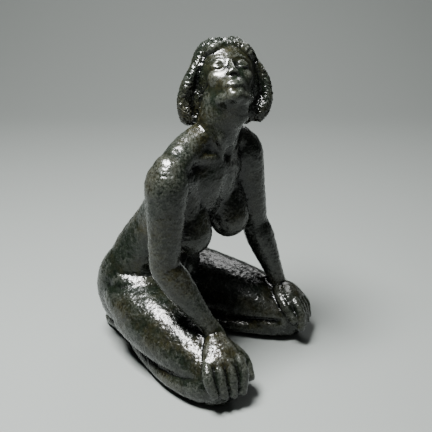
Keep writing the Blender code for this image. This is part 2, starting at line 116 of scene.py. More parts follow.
# The muscle along the top of each thigh's outer side: centre, half width, half depth.
OUTER_THIGH = {
    RIGHT: (
        (-66, -16, 60, 28, 34),
        (-80, -60, 55, 28, 31),
        (-88, -108, 45, 24, 26),
        (-91, -146, 36, 20, 20),
    ),
    LEFT: (
        (64, -18, 90, 28, 22),
        (84, -68, 74, 27, 23),
        (98, -110, 60, 25, 23),
        (105, -146, 42, 20, 20),
    ),
}
# Toes from the little one inwards: offset outwards, reach past the foot, radius.
TOE_ROW = ((16, -1, 4.2), (8.5, 3, 4.6), (1, 5, 4.8), (-6.5, 6, 5.0), (-15, 6, 6.6))
UPPER_ARM = (
    (-0.04, -4, 0, 20, 21),
    (0.05, -1, 0, 25, 26),
    (0.16, 1, 0, 26.5, 27),
    (0.35, 1, 0, 24, 25),
    (0.60, 0, 0, 21.5, 22.5),
    (0.85, 0, 0, 20, 20),
)
FOREARM = (
    (0.00, 0, 0, 18, 18.5),
    (0.15, 0, 0, 20.5, 19.5),
    (0.35, 0, 0, 19.5, 18),
    (0.60, 0, 0, 15.5, 15),
    (0.85, 0, 0, 12.5, 12),
    (1.00, 0, 0, 13, 10.5),
)
# Stations of the trunk and neck: centre, half width, half depth.
TRUNK = (
    (0, 11, 55, 48, 34),
    (0, 10, 86, 64, 41),
    (0, 6, 118, 66, 47),
    (0, -11, 150, 56, 44),
    (0, -32, 180, 52, 42),
    (0, -55, 213, 58, 44),
    (0, -75, 243, 65, 45),
    (0, -90, 270, 66, 39),
    (0, -97, 290, 56, 30),
    (0, -100, 304, 40, 25),
)
NECK = (
    (0, -92, 280, 38, 28),
    (0, -100, 302, 31, 27),
    (0, -111, 324, 27, 27),
    (1, -118, 345, 27, 28),
    (4, -120, 360, 27, 28),
)
BREAST = {RIGHT: (-42, -101, 194), LEFT: (33, -106, 193)}
HEAD_CENTRE = (18, -112, 379)
HEAD_TURN = -43.0  # degrees; 0 looks along -Y, negative towards her right
HEAD_TILT = 50.0  # degrees above the horizon

# Places pressed in or drawn out by a soft round tool: centre, reach along each axis, push. Those of the body
# are in the figure's frame, those of the face in the head's own directions.
BODY_STROKES = (
    ((0, -126, 240), (16, 26, 46), (0, 3, 0)),
    ((0, -128, 294), (12, 18, 14), (0, 4.5, 0)),
    ((27, -116, 306), (18, 18, 11), (0, 2, -3)),
    ((-27, -116, 306), (18, 18, 11), (0, 2, -3)),
    ((0, -55, 146), (5, 12, 6), (0, 5, 0)),
    ((0, -128, 312), (8, 14, 22), (0, -2, 0)),
)
FACE_STROKES = (
    ((0, 34, 2), (8, 10, 6), (0, -2, 0)),
    ((0, 36, -37), (9, 8, 5), (0, -3, 0)),
    ((14.5, 33, 2), (12, 14, 9), (0, -6, 0)),
    ((-14.5, 33, 2), (12, 14, 9), (0, -6, 0)),
    ((31, 18, 12), (10, 14, 14), (-2, 0, 0)),
    ((-31, 18, 12), (10, 14, 14), (2, 0, 0)),
)
# Lines on the surface: the spine, the cleft below it, and the one where her left thigh rests on the calf.
SPINE = ((0, -58, 292), (0, -40, 262), (0, -20, 232), (0, 2, 200), (0, 22, 168), (0, 40, 134), (0, 52, 108))
CLEFT = ((0, 53, 104), (0, 52, 80), (0, 47, 58), (0, 36, 36))
KNEE_FOLD = ((38, -90, 24), (46, -115, 30), (53, -142, 34), (62, -166, 35))
# Each line is pressed in: reach along each axis, push, and the axis that the line mostly follows.
FOLDS = (
    (SPINE, (20, 26, 26), (0, -3, -1.5), 2),
    (CLEFT, (6, 26, 20), (0, -9, 0), 2),
    (KNEE_FOLD, (14, 14, 8), (6, 2, 1), 1),
)

# Hair: an ellipsoid over the skull in the head's own directions, and locks that leave it and fall.
HAIR_CENTRE = (0, -11, 14)
HAIR_RADII = (38.5, 44, 44.5)
NAPE_CENTRE, NAPE_RADII = (0, -27, -14), (34, 27, 30)  # the mass of hair below it, behind the ears
MIDDLE_OF_HAIR = (0, -20, 0)  # locks stand out away from here
LOCKS = 34
LOCK_WIDTH, LOCK_DEPTH = 5.4, 6.2  # halves; every second lock is wider by one
LOCK_INSET = 1.3  # a lock lies none, one or two of these below the outermost
LOCK_PHASE = 2.3  # radians by which a lock's wave is ahead of its neighbour's
UNDER_LOCKS, UNDER_INSETS = 23, (16, 8)  # the locks of each layer underneath, and how deep the layers lie
UNDER_WIDTH, UNDER_DEPTH = 10, 8  # halves

# How the hair lies, in degrees: round the crown from the way she faces, and down from the crown.
FIRST_LOCK, FIRST_UNDER = 5.0, 24
TEMPLE, SWEEP = 86, 0.75  # a lock in front of the temple is swept back, this share of the way to it
PARTED = ((60, 110), (0.12, 1.0))  # places round, and the share of it at which a lock leaves the parting
CROWN_DOWN, FOREHEAD_DOWN, FOREHEAD_ROUND = 8, 62, 80  # where locks begin, lower towards the forehead
LEAVES_DOWN = 80  # where locks leave the skull
ROUND_POWER, DOWN_POWER = 0.8, 1.3  # how soon a lock goes round, and how late down
ROOT_SUNK = 3  # how much deeper a lock begins
BACK_FROM, BACK_WIDTH = 70, 60  # where the back of the head begins, and over how much it comes in
LEAN = 0.3  # how far the hair at her face falls along the tilt of her head instead of straight down
HEM = ((66, 95, 180), (331.0, 325.0, 320.0))  # places round, and the height of the hem there
LEAST_DROP = 10.0  # how far every lock falls at least
# How far the hair stands out at each side, and the share of a half wave it has run through at the hem.
FLARE = {RIGHT: (19.5, 0.72), LEFT: (17.5, 0.92)}
BACK_FLARE_LOST = 0.8  # share of it that the back of the head lacks
STRAIGHT_INSET = 16  # a lock as deep as this hangs straight
INSET_KEPT = 0.4  # share of its depth that a lock keeps where it falls free
WAVE, WAVE_LENGTH = 4.2, 27.0
KNOB = 0.24  # swelling of a lock along its waves, as a share of its width
ON_SKULL, FALLING = (0, 0.33, 0.66, 1), (0.3, 0.62, 0.86, 1.0)  # stations, as shares of each stretch
LOCK_PROFILE = (0.6, 0.85, 1.0, 1.0, 1.1, 1.15, 1.1, 0.8)  # widths at those stations

# Relief of the surface: width of one rise, and its height.
CURL_WIDTH, CURL_DEPTH = 9.0, 0.95
CURL_BEND = 12.0  # how far a curl is bent aside
CURL_SEED = 1  # of the noise that bends them
CURL_WAY = (0.5, -0.4, 0.8)  # the way from crest to crest before they are bent
CURL_POWER = 0.8  # the smaller, the narrower the crests
HAIR_EDGE = 1.5  # width over which the curls run out at the hair's edge
EDGES_PAST = 1.5  # how many such widths past the hair they end
FACE_PLACE, FACE_REACH = (0, 34, -8), 44.0  # where the surface is worked smoother, from the head's centre
FACE_EDGE, FACE_SMOOTHER = 8, 0.8  # width over which that runs out, and share of the relief it takes
SWELL_WIDTH, SWELL_DEPTH = 8.0, 0.5
DAB_WIDTH, DAB_DEPTH = 4.2, 0.5
WEAR_AND_LIGHT_PASSES, WEAR_AND_LIGHT_RISE = 14, 2.3  # how broad and how high a place stands out, for the colour: rubbing and painted highlight on ridges, patina and painted shade in hollows

# Colours, in linear light.
GREEN_DARK, GREEN_LIGHT = (0.001, 0.0022, 0.001), (0.005, 0.0075, 0.0045)
BROWN_DARK, BROWN_LIGHT = (0.0022, 0.0022, 0.001), (0.014, 0.013, 0.005)
# Darker in the hollows and paler on the ridges: partly real patina and rubbed bronze, partly painted shade
# and painted highlight.
HOLLOW_PATINA_AND_SHADE, RUBBED_AND_HIGHLIGHT = (0.001, 0.0015, 0.001), (0.04, 0.043, 0.036)
FLOOR_COLOUR = (0.115, 0.125, 0.118)
SKY_COLOUR, SKY_STRENGTH = (0.9, 1.0, 0.95), 0.05

# Noises of the bronze: how fine per metre, detail, roughness.
GREEN_NOISE = (150, 5, 0.65)
BROWN_NOISE = (170, 5, 0.65)
PATCH_NOISE = (17, 3, 0.55)
BREAK_NOISE = (330, 4, 0.7)
GLOSS_NOISE = (240, 5, 0.7)
GRAIN_NOISE = (290, 2, 0.5)
# Over what part of a noise, or of the stand-out measure, one look gives way to the next; on that measure the
# hollows take patina and painted shade, the ridges rubbing and painted highlight.
TONE_RANGE = (0.36, 0.66)
PATCH_RANGE = (0.45, 0.62)
HOLLOW_PATINA_AND_SHADE_RANGE = (0.1, 0.42)
RUBBED_AND_HIGHLIGHT_RANGE, RUBBED_AND_HIGHLIGHT_MOST = (0.36, 0.62), 0.7
GLOSS_RANGE, ROUGHNESS = (0.3, 0.7), (0.17, 0.34)
GRAIN_DEPTH, GRAIN_STRENGTH = 0.0010, (0.7, 0.15)  # in metres; strength away from the face and on it
METALLIC, SPECULAR = 0.25, 0.5
WAX, WAX_ROUGHNESS = 0.12, 0.2

# Camera, in the draught's millimetres and radians; the aim is to the picture's right and up from the origin.
CAMERA_AZIMUTH = -0.9402
CAMERA_ELEVATION = 0.4155
CAMERA_DISTANCE = 1059.0
CAMERA_AIM = (87.5, 176.9)
CAMERA_LENS, CAMERA_SENSOR = 64.3, 36

# Softboxes, in degrees, metres and watts: name, azimuth, elevation, distance, sides, power.
LIGHTS = (
    ("key", -104, 71, 1.3, (0.52, 0.42), 155),
    ("rim", 106, 42, 1.6, (0.6, 0.6), 9),
    ("fill", -20, 35, 2.0, (1.0, 1.0), 2),
)
LIGHT_AIM = 0.2  # height at which they look

# The floor, in metres along the view from the figure: its near edge, and where it bends up into a backdrop.
FLOOR_NEAR, FLOOR_BEND = -2.5, 1.1
BEND_RADIUS, BEND_ROWS = 0.9, 25
BACKDROP_TOP, FLOOR_HALF_WIDTH = 3.0, 3.5
FLOOR_ROUGHNESS = 0.8


def smooth_rows(rows, steps):
    """Rows of numbers with a Catmull-Rom curve run through them."""
    rows = np.array(rows, float)
    ends = np.vstack([2 * rows[0] - rows[1], rows, 2 * rows[-1] - rows[-2]])
    found = []
    for a, b, c, d in zip(ends, ends[1:], ends[2:], ends[3:]):
        for t in np.arange(steps) / steps:
            curve = (2 * a - 5 * b + 4 * c - d) * t**2 + (3 * b - a - 3 * c + d) * t**3
            found.append(0.5 * (2 * b + (c - a) * t + curve))
    found.append(rows[-1])
    return np.array(found)


def loft(bm, stations, side, segments=20, steps=3):
    """A closed round-ended tube through stations of centre, half width along side, and half depth."""
    rows = smooth_rows(stations, steps)
    centres, halves = rows[:, :3], rows[:, 3:5]
    tangents = np.gradient(centres, axis=0)
    tangents /= np.linalg.norm(tangents, axis=1)[:, None]

    def cap(row, outward):
        """Shrinking rings and a pole that round off an end, from the widest to the pole."""
        reach = CAP_REACH * min(row[3], row[4])
        angles = [math.radians(angle) for angle in CAP_ANGLES]
        rings = [(row[:3] + outward * reach * math.sin(a), row[3:5] * math.cos(a)) for a in angles]
        return rings, row[:3] + outward * reach

    start_rings, start_pole = cap(rows[0], -tangents[0])
    end_rings, end_pole = cap(rows[-1], tangents[-1])
    sections = [(centre, half, tangents[0]) for centre, half in reversed(start_rings)]
    sections += list(zip(centres, halves, tangents))
    sections += [(centre, half, tangents[-1]) for centre, half in end_rings]
    turn = 2 * math.pi / segments
    rings = []
    for centre, (half_side, half_depth), tangent in sections:
        across = np.array(side, float)
        across -= tangent * (across @ tangent)
        across /= np.linalg.norm(across)
        depth = np.cross(tangent, across)
        ring = []
        for k in range(segments):
            sideways = across * half_side * math.cos(turn * k)
            ring.append(bm.verts.new(centre + sideways + depth * half_depth * math.sin(turn * k)))
        rings.append(ring)
    for low, high in zip(rings, rings[1:]):
        for k in range(segments):
            after = (k + 1) % segments
            bm.faces.new((low[k], low[after], high[after], high[k]))
    start, end = bm.verts.new(start_pole), bm.verts.new(end_pole)
    for k in range(segments):
        after = (k + 1) % segments
        bm.faces.new((rings[0][after], rings[0][k], start))
        bm.faces.new((rings[-1][k], rings[-1][after], end))


def blob(bm, centre, radii, axes=UPRIGHT):
    """An ellipsoid with its radii along the three given axes."""
    turn = Matrix([Vector(axis) for axis in axes]).transposed().to_4x4()
    place = Matrix.Translation(Vector(centre)) @ turn @ Matrix.Diagonal((*radii, 1))
    bmesh.ops.create_icosphere(bm, subdivisions=3, radius=1, matrix=place)


def along(start, end, outward, front, profile):
    """Stations of a limb, its profile laid along the bone from start to end, and its sideways direction."""
    start, end = np.array(start, float), np.array(end, float)
    direction = (end - start) / np.linalg.norm(end - start)
    side = np.array(outward, float)
    side -= direction * (side @ direction)
    side /= np.linalg.norm(side)
    ahead = np.cross(direction, side)
    ahead *= math.copysign(1, ahead @ np.array(front, float))
    stations = [
        (*(start + (end - start) * t + side * off_side + ahead * off_front), half_side, half_depth)
        for t, off_side, off_front, half_side, half_depth in profile
    ]
    return stations, side


def head_axes():
    """Her left, the way her face looks, and the way her crown points."""
    turn, tilt = math.radians(HEAD_TURN), math.radians(HEAD_TILT)
    forward = np.array((math.sin(turn) * math.cos(tilt), -math.cos(turn) * math.cos(tilt), math.sin(tilt)))
    crown = np.array((-math.sin(turn) * math.sin(tilt), math.cos(turn) * math.sin(tilt), math.cos(tilt)))
    return np.cross(crown, forward), forward, crown


def in_head(point):
    """A place in the draught, given from the head's centre as her left, forwards and towards the crown."""
    left, forward, crown = head_axes()
    x, y, z = point
    return np.array(HEAD_CENTRE, float) + left * x + forward * y + crown * z


def head_blob(bm, point, radii):
    blob(bm, in_head(point), radii, head_axes())


def head_loft(bm, stations, side=(1, 0, 0)):
    rows = [(*in_head(row[:3]), *row[3:]) for row in stations]
    loft(bm, rows, np.array(side, float) @ np.array(head_axes()), segments=12)


def add_thigh(bm, hand):
    stations, side = along(HIP[hand], KNEE[hand], (hand, 0, 0), (0, 0, 1), THIGH)
    loft(bm, stations, side, segments=28)
    loft(bm, OUTER_THIGH[hand], (1, 0, 0), segments=24)
    seat = ((hand * 34, 23, 50, 35, 35), (hand * 37, 22, 78, 39, 40), (hand * 38, 16, 102, 35, 39))
    loft(bm, (*seat, (hand * 34, 1, 125, 27, 34)), (1, 0, 0), segments=28)
    loft(bm, ((hand * 2, 16, 34, 24, 18), (hand * 26, 16, 34, 24, 18)), (0, 1, 0))
    groin = ((hand * 58, 6, 100, 19, 19), (hand * 54, -14, 97, 19, 19), (hand * 45, -25, 95, 19, 19))
    loft(bm, (*groin, (hand * 30, -30, 98, 17, 17)), (0, 0, 1))


def add_lower_leg(bm, hand):
    out = (hand, 0, 0)
    stations, side = along(KNEE[hand], ANKLE[hand], out, (0, 0, -1), CALF)
    loft(bm, stations, side, segments=24)
    stations, side = along(ANKLE[hand], TOES[hand], out, (0, 0, -1), FOOT)
    loft(bm, stations, side)


def add_toes(bm, hand):
    ankle, toes = np.array(ANKLE[hand], float), np.array(TOES[hand], float)
    ahead = (toes - ankle) / np.linalg.norm(toes - ankle)
    side = np.cross(ahead, (0, 0, 1))
    side *= math.copysign(1, side[0] * hand)
    for across, reach, radius in TOE_ROW:
        root = toes + side * across - ahead * 9
        tip = toes + side * across * 0.9 + ahead * reach
        middle = (root + tip) / 2 + (0, 0, 1.5)
        toe = ((*root, radius, radius), (*middle, radius, radius), (*tip, radius * 0.9, radius * 0.9))
        loft(bm, toe, side, segments=10)


def add_arm(bm, hand):
    out, front = (hand, 0, 0), (0, -1, 0)
    upper, side = along(SHOULDER[hand], ELBOW[hand], out, front, UPPER_ARM)
    lower, _ = along(ELBOW[hand], WRIST[hand], out, front, FOREARM)
    loft(bm, upper + lower, side)


def add_trunk(bm):
    loft(bm, TRUNK, (1, 0, 0), segments=36)
    loft(bm, NECK, (1, 0, 0), segments=24)
    for hand in (RIGHT, LEFT):
        add_breast(bm, hand)
        add_shoulder(bm, hand)
        add_collar(bm, hand)


def add_breast(bm, hand):
    x, y, z = BREAST[hand]
    blob(bm, (x, y, z), (29, 25, 28))
    fall = ((x * 0.8, y + 8, z + 62, 26, 14), (x * 0.9, y + 6, z + 38, 28, 19), (x, y + 1, z + 5, 29, 25))
    loft(bm, fall, (1, 0, 0))


def add_shoulder(bm, hand):
    """The muscles that run from the chest, the nape and the back to the arm."""
    x, y, z = SHOULDER[hand]
    chest = (
        (hand * 16, -103, 271, 16, 16),
        (x * 0.55, -101, 271, 17, 21),
        (x * 0.88, y - 1, z - 16, 18, 21),
    )
    yoke = (
        (hand * 8, -102, 322, 15, 14),
        (x * 0.5, -98, 308, 19, 17),
        (x * 0.9, y + 1, z + 2, 20, 19),
    )
    blade = (
        (hand * 24, -71, 266, 17, 26),
        (x * 0.66, -73, 266, 20, 28),
        (x * 0.9, y + 9, z - 14, 19, 21),
    )
    armpit = (
        (x * 0.76, y + 8, z - 20, 14, 18),
        (hand * 60, -84, 232, 15, 23),
        (hand * 54, -80, 200, 13, 18),
    )
    pectoral = (
        (x * 0.62, -99, 266, 22, 17),
        (hand * 50, -98, 238, 20, 17),
        (hand * 47, -99, 209, 17, 19),
    )
    for muscle in (chest, yoke, blade):
        loft(bm, muscle, (0, 1, 0))
    for muscle in (armpit, pectoral):
        loft(bm, muscle, (1, 0, 0))


def add_collar(bm, hand):
    """The collar bone, and the tendon from its inner end to the skull behind the ear."""
    x, y, z = SHOULDER[hand]
    bone = (
        (hand * 7, -119, 287, 6, 6),
        (hand * 24, -118.5, 292, 6, 6),
        (x * 0.62, -111, 299, 6.5, 6.5),
        (x * 0.92, y - 5, z + 9, 9, 9),
    )
    tendon = (
        (hand * 6, -121, 288, 5, 5),
        (hand * 12, -126, 306, 5.5, 5.5),
        (hand * 18, -127, 324, 6, 6),
        (*in_head((hand * 25, -8, -22)), 7, 7),
    )
    hollow = ((hand * 12, -107, 304, 16, 15), (hand * 27, -103, 304, 17, 16), (x * 0.56, -99, 304, 17, 17))
    loft(bm, hollow, (0, 0, 1))
    loft(bm, bone, (0, 0, 1), segments=12)
    loft(bm, tendon, (1, 0, 0), segments=12)


def add_skull(bm):
    head_blob(bm, (0, -8, 11), (34, 41, 38))
    head_blob(bm, (0, 3, -12), (27, 30, 34))
    head_loft(bm, ((0, 20, -40, 12, 8), (0, 8, -44, 17, 10), (0, -8, -48, 21, 14)))
    head_blob(bm, (0, 22, -26), (16, 14, 14))
    head_blob(bm, (0, 26, -41), (11, 9.5, 9))
    for hand in (RIGHT, LEFT):
        head_blob(bm, (hand * 16, 16, -10), (12, 12, 12))
        jaw = ((hand * 24, -8, -14, 7, 9), (hand * 21, 3, -30, 7, 8), (hand * 10, 21, -41, 7, 8))
        head_loft(bm, jaw)


def add_face(bm):
    nose = (
        (0, 28.5, 10, 4, 3.2),
        (0, 30.5, 1, 3.4, 3.8),
        (0, 34, -8, 3.6, 4.6),
        (0, 36.2, -13.5, 4.2, 4.2),
    )
    lower_lip = ((-10, 31.6, -30.3, 1.0, 1.8), (0, 33.8, -32.0, 2.1, 2.6), (10, 31.6, -30.3, 1.0, 1.8))
    head_loft(bm, nose)
    head_loft(bm, lower_lip, side=(0, 0, 1))
    for hand in (RIGHT, LEFT):
        head_blob(bm, (hand * 4.4, 34.5, -15), (2.8, 4.4, 3.0))
        head_blob(bm, (hand * 14.5, 21.5, 2), (8.5, 8, 7.5))
        add_brow_and_lids(bm, hand)
        upper_lip = (
            (hand * 10.5, 31.6, -29.3, 1.0, 1.8),
            (hand * 4, 34.2, -27.2, 1.7, 2.5),
            (0, 34.5, -27.6, 1.6, 2.5),
        )
        head_loft(bm, upper_lip, side=(0, 0, 1))


def add_brow_and_lids(bm, hand):
    brow = (
        (hand * 6, 30, 10, 2.2, 2.6),
        (hand * 14.5, 28.2, 12, 2.2, 2.6),
        (hand * 23, 21.5, 10, 2.0, 2.4),
    )
    upper_lid = (
        (hand * 8, 28, 1, 1.2, 1.3),
        (hand * 14.5, 29.8, 4.8, 1.7, 2.3),
        (hand * 21.5, 25.8, 2, 1.2, 1.4),
    )
    lower_lid = (
        (hand * 8, 28.2, 0, 1.1, 1.2),
        (hand * 14.5, 29.6, -3, 1.2, 1.3),
        (hand * 21.5, 26.2, 1, 1.1, 1.2),
    )
    head_loft(bm, brow, side=(0, 0, 1))
    head_loft(bm, upper_lid, side=(0, 1, 0))
    head_loft(bm, lower_lid, side=(0, 1, 0))


def over_skull(around, down, inset):
    """A place below the hair's ellipsoid: degrees round the crown from the face, and down from the crown."""
    around, down = math.radians(around), math.radians(down)
    unit = (math.sin(down) * math.sin(around), math.sin(down) * math.cos(around), math.cos(down))
    return in_head([c + (r - inset) * u for c, r, u in zip(HAIR_CENTRE, HAIR_RADII, unit)])


def lock_stations(around, half_width, half_depth, inset, phase):
    """A waving lock from the parting to the hem, standing out as it falls, and its sideways direction."""
    hand = LEFT if around > 0 else RIGHT
    flare, bend = FLARE[hand]
    swept = hand * (abs(around) + max(0.0, TEMPLE - abs(around)) * SWEEP)
    back = min(max((abs(swept) - BACK_FROM) / BACK_WIDTH, 0.0), 1.0)
    parted = around * np.interp(abs(around), *PARTED)
    begins_down = CROWN_DOWN + FOREHEAD_DOWN * max(0.0, 1 - abs(around) / FOREHEAD_ROUND)
    places = []
    for share in ON_SKULL:
        gone_round = parted + (swept - parted) * share**ROUND_POWER
        gone_down = begins_down + (LEAVES_DOWN - begins_down) * share**DOWN_POWER
        sunk = inset + (0 if share else ROOT_SUNK)
        places.append(over_skull(gone_round, gone_down, sunk))
    start = places[-1]
    away = (start - in_head(MIDDLE_OF_HAIR)) * (1, 1, 0)
    away /= np.linalg.norm(away)
    down = np.array((0, 0, -1)) * (1 - LEAN + LEAN * back) - head_axes()[2] * LEAN * (1 - back)
    down /= -down[2]
    hem = np.interp(abs(swept), *HEM)
    drop = max(start[2] - hem, LEAST_DROP)
    flare *= (1 - BACK_FLARE_LOST * back) * (1 - inset / STRAIGHT_INSET)
    for share in FALLING:
        stands_out = flare * math.sin(math.pi * bend * share) - inset * INSET_KEPT
        places.append(start + down * drop * share + away * stands_out)
    places = np.array(places)
    travel = np.append(0, np.cumsum(np.linalg.norm(np.diff(places, axis=0), axis=1)))
    sideways = np.cross(away, (0, 0, 1))
    for place, far in zip(places, travel):
        place += sideways * WAVE * math.sin(far / WAVE_LENGTH * 2 * math.pi + phase)
    swells = 1 + KNOB * np.sin(travel / WAVE_LENGTH * 4 * math.pi + phase)
    widths = half_width * (np.array(LOCK_PROFILE) * swells)
    return [(*place, width, half_depth) for place, width in zip(places, widths)], sideways


def from_face(around):
    """Degrees round the crown, from -180 to 180 instead of from 0 to 360."""
    return around if around < 180 else around - 360


def add_hair(bm):
    head_blob(bm, HAIR_CENTRE, HAIR_RADII)
    head_blob(bm, NAPE_CENTRE, NAPE_RADII)
    for inset in UNDER_INSETS:
        for around in np.linspace(FIRST_UNDER, 360 - FIRST_UNDER, UNDER_LOCKS):
            stations, side = lock_stations(from_face(around), UNDER_WIDTH, UNDER_DEPTH, inset, phase=0)
            loft(bm, stations, side)
    for k in range(LOCKS):
        around = from_face(FIRST_LOCK + (360 - 2 * FIRST_LOCK) * k / (LOCKS - 1))
        width, inset = LOCK_WIDTH + k % 2, LOCK_INSET * (2 * k % 3)
        stations, side = lock_stations(around, width, LOCK_DEPTH, inset, phase=LOCK_PHASE * k)
        loft(bm, stations, side, segments=12)


def add_hand(bm, hand):
    joints = {name: np.array(ends, float) for name, ends in HAND[hand].items()}
    elbow, wrist, knuckles = np.array(ELBOW[hand], float), np.array(WRIST[hand], float), joints["knuckles"]
    across = knuckles[1] - knuckles[0]
    centre = knuckles.mean(axis=0)
    palm = (
        (*(wrist + (elbow - wrist) * 0.2), 12, 11),
        (*wrist, 13.5, 11),
        (*(wrist + (centre - wrist) * 0.3 + (0, 0, 1)), 16, 10.5),
        (*(wrist + (centre - wrist) * 0.6 + (0, 0, 2)), 21.5, 10),
        (*(wrist + (centre - wrist) * 0.95), 26, 8.5),
    )
    loft(bm, palm, across)
    for share, lengthen in ((0.0, 0.85), (0.33, 1.0), (0.67, 1.05), (1.0, 1.0)):
        rows = [joints[name] for name in ("knuckles", "middles", "tips")]
        knuckle, middle, tip = (row[0] + (row[1] - row[0]) * share for row in rows)
        tip = middle + (tip - middle) * lengthen
        root = knuckle + (wrist - knuckle) * 0.2
        finger = ((*root, 6, 6), (*knuckle, 7, 7), (*middle, 7, 7), (*tip, 6, 6))
        loft(bm, finger, across, segments=10)
    root, middle, tip = joints["thumb"]
    thumb = ((*(wrist + (root - wrist) * 0.4), 8, 8), (*root, 9, 8), (*middle, 7.5, 7), (*tip, 6.2, 6))
    loft(bm, thumb, across, segments=10)
    blob(bm, (root + middle) / 2 * 0.5 + (knuckles[1] + joints["middles"][1]) / 2 * 0.5, (9, 9, 9))


def object_of(name, bm, modifiers):
    """An object from a bmesh in the figure's millimetres, with its modifiers."""
    mesh = bpy.data.meshes.new(name)
    bmesh.ops.recalc_face_normals(bm, faces=bm.faces)
    bm.to_mesh(mesh)
    bm.free()
    obj = bpy.data.objects.new(name, mesh)
    bpy.context.scene.collection.objects.link(obj)
    for kind, settings in modifiers:
        modifier = obj.modifiers.new(kind.title(), kind)
        for key, value in settings.items():
            setattr(modifier, key, value)
    return obj


def evaluated(obj):
    """The object's mesh with its modifiers applied. The object is removed."""
    graph = bpy.context.evaluated_depsgraph_get()
    mesh = bpy.data.meshes.new_from_object(obj.evaluated_get(graph))
    bpy.data.objects.remove(obj)
    return mesh


def run_together(name, bm, voxel, passes=0):
    """One mesh of even fineness from forms that overlap, smoothed where passes are given."""
    modifiers = [("REMESH", {"mode": "VOXEL", "voxel_size": voxel})]
    if passes:
        modifiers.append(("SMOOTH", {"factor": SMOOTH_SHARE, "iterations": passes}))
    return evaluated(object_of(name, bm, modifiers))


def stroke(mesh, strokes, origin=(0, 0, 0), axes=UPRIGHT):
    """Push the mesh about softly, each stroke given in the frame of the origin and axes."""
    axes = np.array(axes, float)
    places = np.array([vertex.co for vertex in mesh.vertices])
    for centre, reach, push in strokes:
        local = (places - np.array(origin, float)) @ axes.T
        far = np.sum(((local - centre) / reach) ** 2, axis=1)
        weight = np.clip(1 - far, 0, 1) ** 2
        places += weight[:, None] * (np.array(push, float) @ axes)
    mesh.vertices.foreach_set("co", places.ravel())


def furrow(path, reach, push, lengthways, steps=4):
    """Overlapping strokes along a path that add up to one even groove of the given push."""
    places = smooth_rows(path, steps)
    spacing = np.linalg.norm(np.diff(places, axis=0), axis=1).mean()
    part = np.array(push) * spacing / reach[lengthways]
    return [(place, reach, part) for place in places]


def body_mesh():
    """Trunk, head, arms and thighs run together."""
    bm = bmesh.new()
    add_trunk(bm)
    add_skull(bm)
    for hand in (RIGHT, LEFT):
        add_thigh(bm, hand)
        add_arm(bm, hand)
    mesh = run_together("body", bm, BODY_VOXEL, BODY_PASSES)
    stroke(mesh, BODY_STROKES)
    for path, reach, push, lengthways in FOLDS:
        stroke(mesh, furrow(path, reach, push, lengthways))
    stroke(mesh, FACE_STROKES, HEAD_CENTRE, head_axes())
    return mesh


def hair_mesh():
    """The locks run together."""
    bm = bmesh.new()
    add_hair(bm)
    return run_together("hair", bm, FINE_VOXEL)


def curl_height(place):
    """Curls: the crests of a wave that a noise bends about."""
    x, y, z = CURL_WAY
    bent = place + CURL_BEND * noise.noise_vector(place / CURL_WIDTH)
    wave = math.sin(2 * math.pi * (bent.z * z + bent.x * x + bent.y * y) / CURL_WIDTH)
    return CURL_DEPTH * (1 - 2 * abs(wave) ** CURL_POWER)


def dab_height(place):
    """The wax the bronze was cast from, laid on in dabs and pressed flat with a tool."""
    swell = noise.noise(place / SWELL_WIDTH)
    dab = 0.5 - abs(noise.noise(place / DAB_WIDTH)) * 2
    return SWELL_DEPTH * swell + DAB_DEPTH * dab


def on_face(places):
    """From 1 on the face to 0 away from it."""
    away = np.linalg.norm(np.array(places) - in_head(FACE_PLACE), axis=-1)
    return np.clip((FACE_REACH - away) / FACE_EDGE, 0, 1)


def add_relief(mesh, hair):
    """Raise the surface along its normals: curls on the hair, dabs of wax elsewhere, little on the face."""
    noise.seed_set(CURL_SEED)
    corners = [vertex.co for vertex in hair.vertices]
    tree = BVHTree.FromPolygons(corners, [tuple(face.vertices) for face in hair.polygons])
    places = [vertex.co.copy() for vertex in mesh.vertices]
    normals = [vertex.normal.copy() for vertex in mesh.vertices]
    rough = 1 - FACE_SMOOTHER * on_face(places)
    for vertex, place, normal, share in zip(mesh.vertices, places, normals, rough.tolist()):
        away = tree.find_nearest(place)[3]
        curly = min(1.0, max(0.0, EDGES_PAST - away / HAIR_EDGE))
        height = curly * curl_height(place) + (1 - curly) * dab_height(place)
        vertex.co = place + normal * height * share


def figure_mesh():
    """The whole figure in the draught's millimetres."""
    bm = bmesh.new()
    bm.from_mesh(body_mesh())
    hair = hair_mesh()
    bm.from_mesh(hair)
    add_face(bm)
    for hand in (RIGHT, LEFT):
        add_lower_leg(bm, hand)
        add_hand(bm, hand)
        add_toes(bm, hand)
    mesh = run_together("carved", bm, FINE_VOXEL, FINE_PASSES)
    add_relief(mesh, hair)
    return mesh


def lay_flat(mesh):
    """Bring what the relief pushed through the floor back onto it."""
    for vertex in mesh.vertices:
        vertex.co.z = max(vertex.co.z, 0.0)


def note_wear_and_light(mesh):
    """Kept for the patina at each vertex: how far it stands out, from 0 in a hollow to 1 on a ridge, which
    darkens hollows with patina and painted shade and pales ridges with rubbing and painted highlight; and
    face.
    """
    ends = np.array([edge.vertices for edge in mesh.edges]).T
    count = np.bincount(ends.ravel(), minlength=len(mesh.vertices))

    def around(values):
        columns = []
        for column in values.T:
            columns.append(np.bincount(ends.ravel(), column[ends[::-1]].ravel(), len(column)) / count)
        return np.array(columns).T

    places = np.array([vertex.co for vertex in mesh.vertices])
    normals = np.array([vertex.normal for vertex in mesh.vertices])
    smooth = places
    for _ in range(WEAR_AND_LIGHT_PASSES):
        smooth = around(smooth)
    rise = ((places - smooth) * normals).sum(axis=1)
    wear_and_light = np.clip(0.5 + rise / WEAR_AND_LIGHT_RISE, 0, 1)
    mesh.attributes.new("wear_and_light", "FLOAT", "POINT").data.foreach_set("value", wear_and_light)
    mesh.attributes.new("face", "FLOAT", "POINT").data.foreach_set("value", on_face(places))


